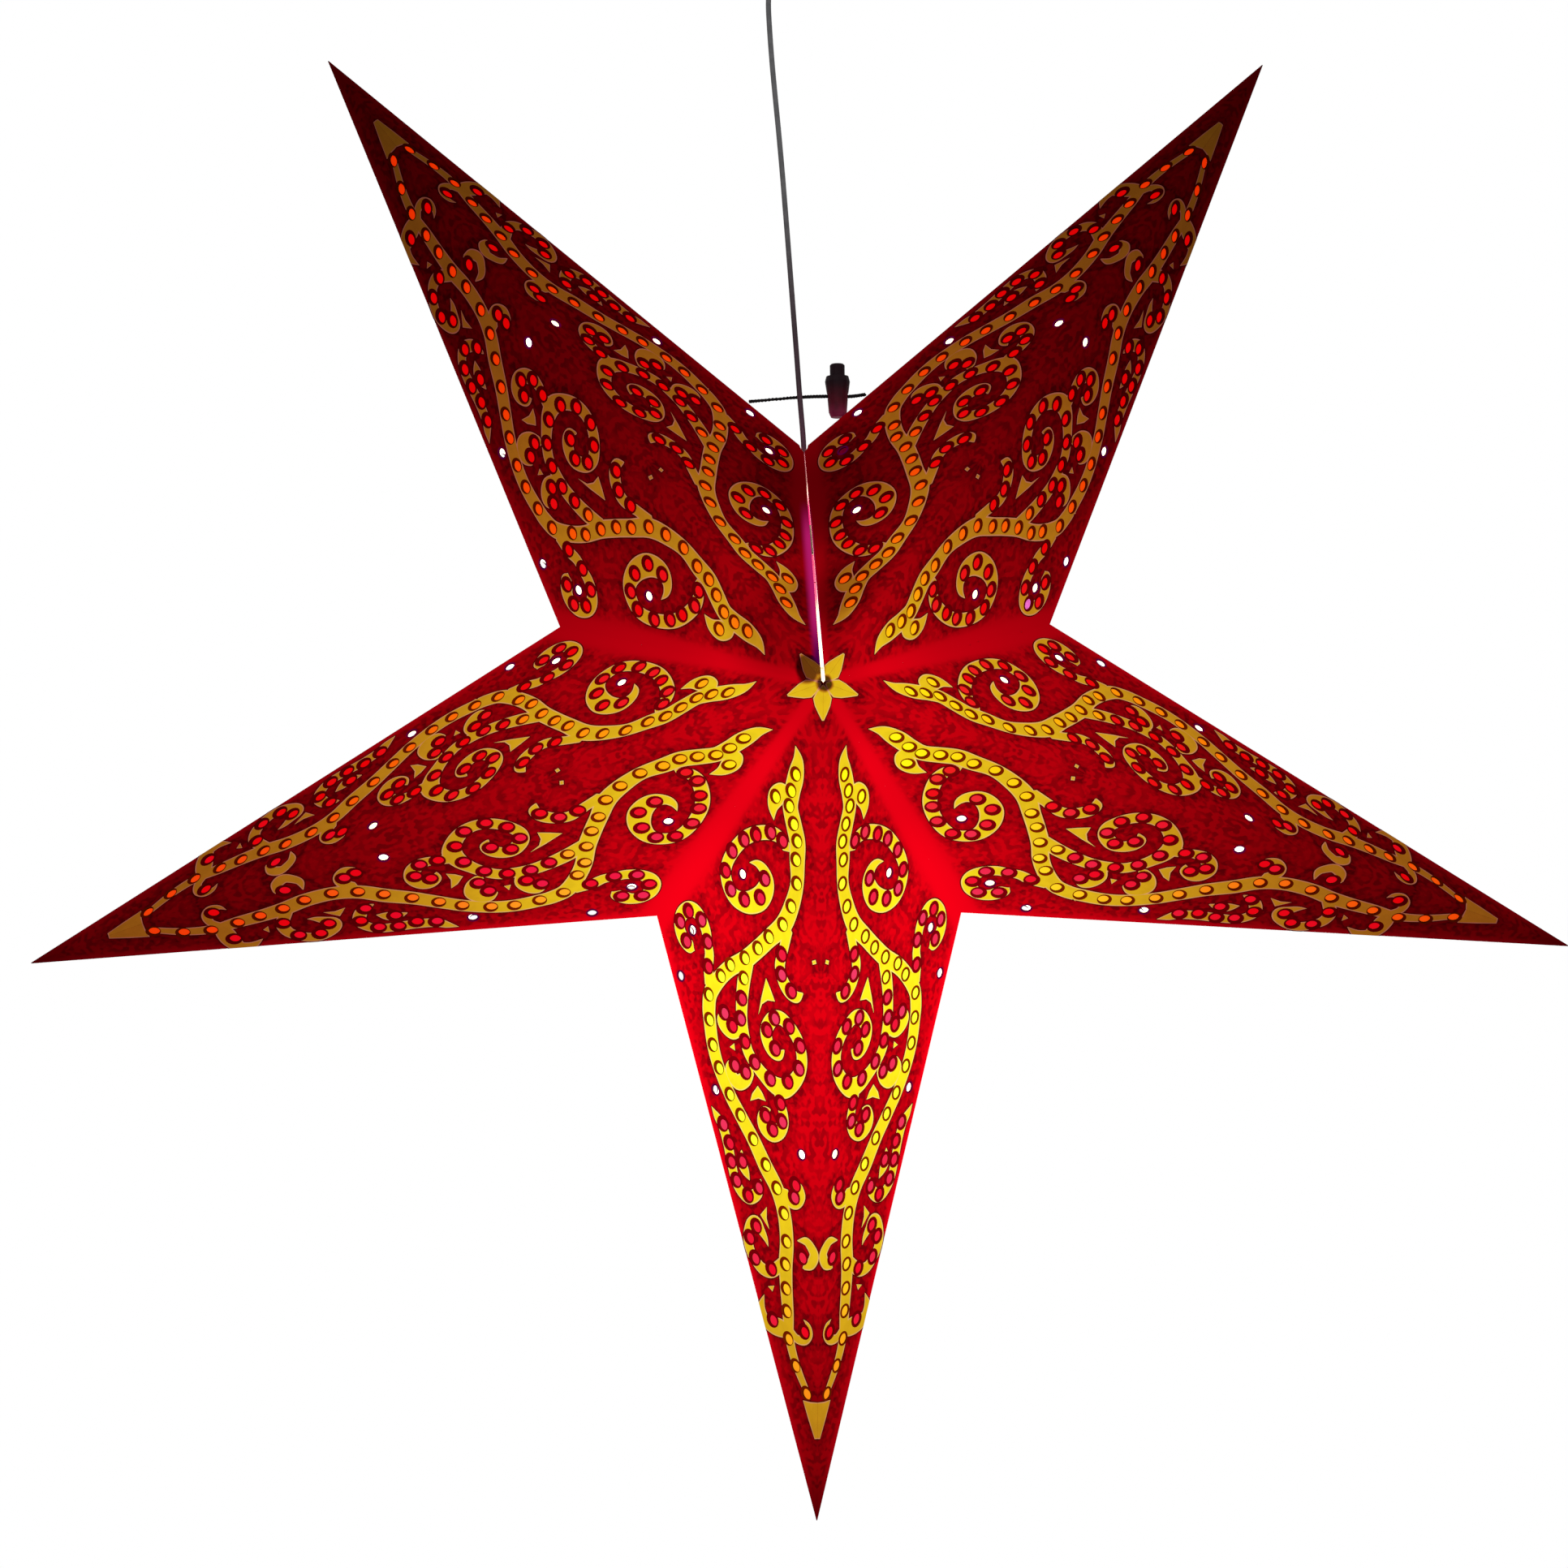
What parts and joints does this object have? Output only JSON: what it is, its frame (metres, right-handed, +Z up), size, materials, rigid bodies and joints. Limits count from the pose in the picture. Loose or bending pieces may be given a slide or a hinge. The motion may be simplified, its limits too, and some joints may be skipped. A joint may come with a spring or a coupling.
{
  "type": "paper star lantern",
  "caption": "Hanging paper star lantern of punched red card with coloured tissue, lit by a lamp inside; it folds flat, and a tie string with a spring toggle closes its seam.",
  "frame": {"origin": "inside the top of the hanging loop, where it rests on its hook", "axes": "+Z up, +X to the right and -Y towards a viewer who faces the star's front"},
  "size_m": [0.5686, 0.1768, 0.6009],
  "materials": {
    "red_card": "matte",
    "tissue": "matte",
    "cord": "matte",
    "string": "matte",
    "toggle_plastic": "satin",
    "black_plastic": "satin",
    "white_plastic": "satin",
    "globe": "satin",
    "board": "matte",
    "ceramic": "satin",
    "steel": "satin",
    "brass": "satin"
  },
  "bodies": {
    "lamp_cord_and_tie": {"hanging_loop": "cord", "loop_clip": "black_plastic", "power_cord": "cord", "cord_grip": "black_plastic", "holder_hood": "white_plastic", "holder_body": "white_plastic", "contact_block": "ceramic", "centre_contact": "brass", "screw_shell": "brass", "bulb_contact": "steel", "bulb_insulator": "black_plastic", "bulb_cap": "steel", "bulb_collar": "white_plastic", "led_board": "board", "bulb_globe": "globe", "tie_string": "string", "toggle_barrel": "toggle_plastic", "toggle_spring": "steel"},
    "plunger": {"toggle_plunger": "black_plastic"},
    "arm1_front_a_panel": {"arm1_front_a": "red_card", "arm1_front_a_tissue": "tissue"},
    "arm1_back_a_panel": {"arm1_back_a": "red_card", "arm1_back_a_tissue": "tissue"},
    "arm1_front_b_panel": {"arm1_front_b": "red_card", "arm1_front_b_tissue": "tissue"},
    "arm1_back_b_panel": {"arm1_back_b": "red_card", "arm1_back_b_tissue": "tissue"},
    "arm2_front_a_panel": {"arm2_front_a": "red_card", "arm2_front_a_tissue": "tissue"},
    "arm2_back_a_panel": {"arm2_back_a": "red_card", "arm2_back_a_tissue": "tissue"},
    "arm2_front_b_panel": {"arm2_front_b": "red_card", "arm2_front_b_tissue": "tissue"},
    "arm2_back_b_panel": {"arm2_back_b": "red_card", "arm2_back_b_tissue": "tissue"},
    "arm3_front_a_panel": {"arm3_front_a": "red_card", "arm3_front_a_tissue": "tissue"},
    "arm3_back_a_panel": {"arm3_back_a": "red_card", "arm3_back_a_tissue": "tissue"},
    "arm3_front_b_panel": {"arm3_front_b": "red_card", "arm3_front_b_tissue": "tissue"},
    "arm3_back_b_panel": {"arm3_back_b": "red_card", "arm3_back_b_tissue": "tissue"},
    "arm4_front_a_panel": {"arm4_front_a": "red_card", "arm4_front_a_tissue": "tissue"},
    "arm4_back_a_panel": {"arm4_back_a": "red_card", "arm4_back_a_tissue": "tissue"},
    "arm4_front_b_panel": {"arm4_front_b": "red_card", "arm4_front_b_tissue": "tissue"},
    "arm4_back_b_panel": {"arm4_back_b": "red_card", "arm4_back_b_tissue": "tissue"},
    "arm5_front_a_panel": {"arm5_front_a": "red_card", "arm5_front_a_tissue": "tissue"},
    "arm5_back_a_panel": {"arm5_back_a": "red_card", "arm5_back_a_tissue": "tissue"},
    "arm5_front_b_panel": {"arm5_front_b": "red_card", "arm5_front_b_tissue": "tissue"},
    "arm5_back_b_panel": {"arm5_back_b": "red_card", "arm5_back_b_tissue": "tissue"}
  },
  "joints": [
    {"name": "star_swing_on_tie", "type": "hinge", "parent": "lamp_cord_and_tie", "child": "arm1_front_a_panel", "pos_m": [0.03488, 0, -0.1843], "axis": [-0.0912, -0.6391, -0.7637], "range_deg": [0, 48.65]},
    {"name": "arm1_ridge_fold", "type": "hinge", "parent": "arm1_front_a_panel", "child": "arm1_front_b_panel", "pos_m": [0.01093, -0.08848, -0.30037], "axis": [0.563, 0.2873, 0.7749], "range_deg": [0, 72]},
    {"name": "arm1_arm2_valley_fold", "type": "hinge", "parent": "arm1_front_b_panel", "child": "arm2_front_a_panel", "pos_m": [0.0112, -0.09, -0.3], "axis": [-0.6938, -0.6839, -0.2254], "range_deg": [0, 105.17]},
    {"name": "arm2_ridge_fold", "type": "hinge", "parent": "arm2_front_a_panel", "child": "arm2_front_b_panel", "pos_m": [0.01077, -0.08848, -0.29986], "axis": [0.9109, 0.2873, -0.296], "range_deg": [0, 72.05]},
    {"name": "arm2_arm3_valley_fold", "type": "hinge", "parent": "arm2_front_b_panel", "child": "arm3_front_a_panel", "pos_m": [0.0112, -0.09, -0.3], "axis": [-0.4288, -0.6839, 0.5902], "range_deg": [0, 105.17]},
    {"name": "arm3_ridge_fold", "type": "hinge", "parent": "arm3_front_a_panel", "child": "arm3_front_b_panel", "pos_m": [0.0112, -0.08848, -0.29954], "axis": [0, 0.2873, -0.9578], "range_deg": [0, 72.05]},
    {"name": "arm3_arm4_valley_fold", "type": "hinge", "parent": "arm3_front_b_panel", "child": "arm4_front_a_panel", "pos_m": [0.0112, -0.09, -0.3], "axis": [0.4288, -0.6839, 0.5902], "range_deg": [0, 105.17]},
    {"name": "arm4_ridge_fold", "type": "hinge", "parent": "arm4_front_a_panel", "child": "arm4_front_b_panel", "pos_m": [0.01163, -0.08848, -0.29986], "axis": [-0.9109, 0.2873, -0.296], "range_deg": [0, 72.05]},
    {"name": "arm4_arm5_valley_fold", "type": "hinge", "parent": "arm4_front_b_panel", "child": "arm5_front_a_panel", "pos_m": [0.0112, -0.09, -0.3], "axis": [0.6938, -0.6839, -0.2254], "range_deg": [0, 105.17]},
    {"name": "arm5_ridge_fold", "type": "hinge", "parent": "arm5_front_a_panel", "child": "arm5_front_b_panel", "pos_m": [0.01147, -0.08848, -0.30037], "axis": [-0.563, 0.2873, 0.7749], "range_deg": [0, 72.05]},
    {"name": "arm1_rim_a_fold", "type": "hinge", "parent": "arm1_front_a_panel", "child": "arm1_back_a_panel", "pos_m": [0.0112, 0, -0.204], "axis": [0.7687, 0, 0.6396], "range_deg": [0, 70.25]},
    {"name": "arm1_rim_b_fold", "type": "hinge", "parent": "arm1_front_b_panel", "child": "arm1_back_b_panel", "pos_m": [0.18754, 0, -0.05729], "axis": [-0.3707, 0, -0.9287], "range_deg": [0, 70.25]},
    {"name": "arm2_rim_a_fold", "type": "hinge", "parent": "arm2_front_a_panel", "child": "arm2_back_a_panel", "pos_m": [0.1025, 0, -0.27033], "axis": [0.8458, 0, -0.5335], "range_deg": [0, 70.25]},
    {"name": "arm2_rim_b_fold", "type": "hinge", "parent": "arm2_front_b_panel", "child": "arm2_back_b_panel", "pos_m": [0.29652, 0, -0.39271], "axis": [-0.9978, 0, 0.0656], "range_deg": [0, 70.25]},
    {"name": "arm3_rim_a_fold", "type": "hinge", "parent": "arm3_front_a_panel", "child": "arm3_back_a_panel", "pos_m": [0.06763, 0, -0.37767], "axis": [-0.246, 0, -0.9693], "range_deg": [0, 70.25]},
    {"name": "arm3_rim_b_fold", "type": "hinge", "parent": "arm3_front_b_panel", "child": "arm3_back_b_panel", "pos_m": [0.0112, 0, -0.6], "axis": [-0.246, 0, 0.9693], "range_deg": [0, 70.25]},
    {"name": "arm4_rim_a_fold", "type": "hinge", "parent": "arm4_front_a_panel", "child": "arm4_back_a_panel", "pos_m": [-0.04523, 0, -0.37767], "axis": [-0.9978, 0, -0.0656], "range_deg": [0, 70.25]},
    {"name": "arm4_rim_b_fold", "type": "hinge", "parent": "arm4_front_b_panel", "child": "arm4_back_b_panel", "pos_m": [-0.27412, 0, -0.39271], "axis": [0.8458, 0, 0.5335], "range_deg": [0, 70.25]},
    {"name": "arm5_rim_a_fold", "type": "hinge", "parent": "arm5_front_a_panel", "child": "arm5_back_a_panel", "pos_m": [-0.0801, 0, -0.27033], "axis": [-0.3707, 0, 0.9287], "range_deg": [0, 70.25]},
    {"name": "arm5_rim_b_fold", "type": "hinge", "parent": "arm5_front_b_panel", "child": "arm5_back_b_panel", "pos_m": [-0.16514, 0, -0.05729], "axis": [0.7687, 0, -0.6396], "range_deg": [0, 70.25]},
    {"name": "plunger_press", "type": "slide", "parent": "lamp_cord_and_tie", "child": "plunger", "axis": [0, 0, -1], "range_m": [0, 0.002], "stiffness_N_per_m": 1500, "springref_m": -0.002, "deforming": ["toggle_spring"]}
  ],
  "couplings": [
    {"joint": "star_swing_on_tie", "follows": "arm1_ridge_fold", "ratio": 0.67499},
    {"joint": "arm1_arm2_valley_fold", "follows": "arm1_ridge_fold", "ratio": 1.46},
    {"joint": "arm2_ridge_fold", "follows": "arm1_ridge_fold", "ratio": 1},
    {"joint": "arm2_arm3_valley_fold", "follows": "arm1_ridge_fold", "ratio": 1.46},
    {"joint": "arm3_ridge_fold", "follows": "arm1_ridge_fold", "ratio": 1},
    {"joint": "arm3_arm4_valley_fold", "follows": "arm1_ridge_fold", "ratio": 1.46},
    {"joint": "arm4_ridge_fold", "follows": "arm1_ridge_fold", "ratio": 1},
    {"joint": "arm4_arm5_valley_fold", "follows": "arm1_ridge_fold", "ratio": 1.46},
    {"joint": "arm5_ridge_fold", "follows": "arm1_ridge_fold", "ratio": 1},
    {"joint": "arm1_rim_a_fold", "follows": "arm1_ridge_fold", "ratio": 0.975},
    {"joint": "arm1_rim_b_fold", "follows": "arm1_ridge_fold", "ratio": 0.975},
    {"joint": "arm2_rim_a_fold", "follows": "arm1_ridge_fold", "ratio": 0.975},
    {"joint": "arm2_rim_b_fold", "follows": "arm1_ridge_fold", "ratio": 0.975},
    {"joint": "arm3_rim_a_fold", "follows": "arm1_ridge_fold", "ratio": 0.975},
    {"joint": "arm3_rim_b_fold", "follows": "arm1_ridge_fold", "ratio": 0.975},
    {"joint": "arm4_rim_a_fold", "follows": "arm1_ridge_fold", "ratio": 0.975},
    {"joint": "arm4_rim_b_fold", "follows": "arm1_ridge_fold", "ratio": 0.975},
    {"joint": "arm5_rim_a_fold", "follows": "arm1_ridge_fold", "ratio": 0.975},
    {"joint": "arm5_rim_b_fold", "follows": "arm1_ridge_fold", "ratio": 0.975}
  ]
}
